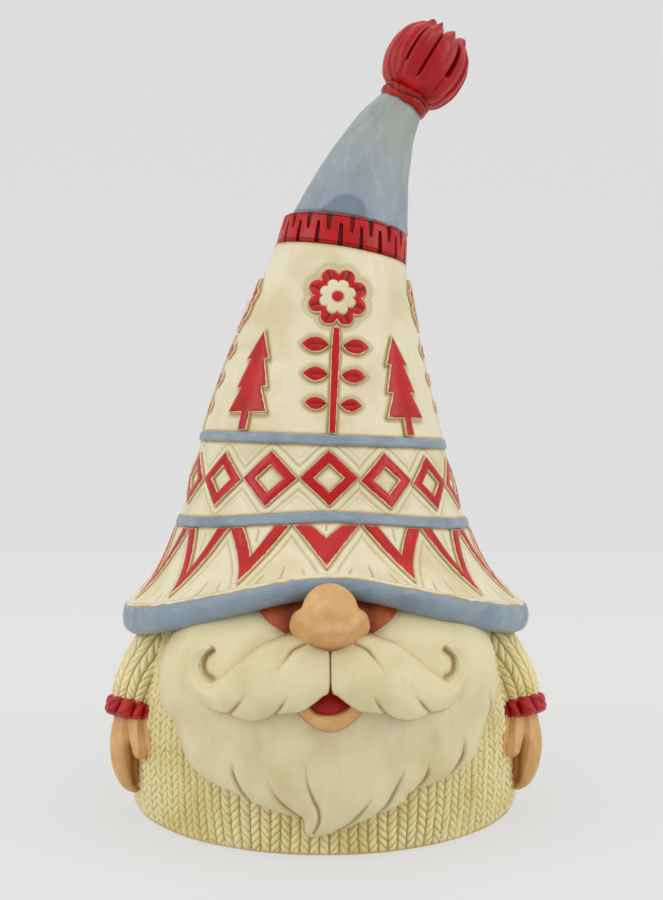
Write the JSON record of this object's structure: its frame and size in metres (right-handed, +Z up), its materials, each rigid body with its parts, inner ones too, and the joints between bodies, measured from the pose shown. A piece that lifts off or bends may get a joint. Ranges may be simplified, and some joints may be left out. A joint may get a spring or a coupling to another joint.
{
  "type": "tomte gnome figurine",
  "caption": "Standing gnome ornament: a knitted-sweater body with a long beard under a tall leaning hat with raised folk motifs, bands and a pompom.",
  "frame": {"origin": "on the table, at the centre of the round felt pad under the figure", "axes": "+Z up through the hat, -Y out of the gnome's face, +X towards its left hand and the lean of the hat"},
  "size_m": [0.116, 0.1259, 0.2156],
  "materials": {
    "knit_paint": "satin",
    "cuff_paint": "satin",
    "skin_paint": "satin",
    "cheek_paint": "satin",
    "mouth_paint": "glossy",
    "beard_paint": "satin",
    "hat_paint": "satin",
    "flower_centre_paint": "satin",
    "band_paint": "satin",
    "tip_paint": "satin",
    "motif_paint": "glossy",
    "rib_paint": "glossy",
    "pompom_paint": "glossy",
    "base_resin": "matte",
    "felt": "felted",
    "pin_steel": "bright",
    "dowel_wood": "plain"
  },
  "bodies": {
    "root": {"arm_pins": "pin_steel", "base_plate": "base_resin", "beard": "beard_paint", "body_shell": "knit_paint", "crown_dowel": "dowel_wood", "cuff_left": "cuff_paint", "cuff_right": "cuff_paint", "diamond_frames": "motif_paint", "face": "cheek_paint", "felt_pad": "felt", "fir_trees": "motif_paint", "flower_buttons": "motif_paint", "flower_hearts": "flower_centre_paint", "flower_leaves": "motif_paint", "flower_petals": "motif_paint", "flower_stems": "motif_paint", "hand_left": "skin_paint", "hand_right": "skin_paint", "hat_band_lower": "band_paint", "hat_band_upper": "band_paint", "hat_brim_trim": "band_paint", "hat_cone": "hat_paint", "hat_rib_band": "rib_paint", "hat_tip": "tip_paint", "lower_lip": "skin_paint", "moustache_left": "beard_paint", "moustache_right": "beard_paint", "mouth": "mouth_paint", "nose": "skin_paint", "pompom": "pompom_paint", "pompom_collar": "pompom_paint", "pompom_pin": "pin_steel", "sleeve_left": "knit_paint", "sleeve_right": "knit_paint", "zigzag_bars": "motif_paint"}
  },
  "joints": []
}
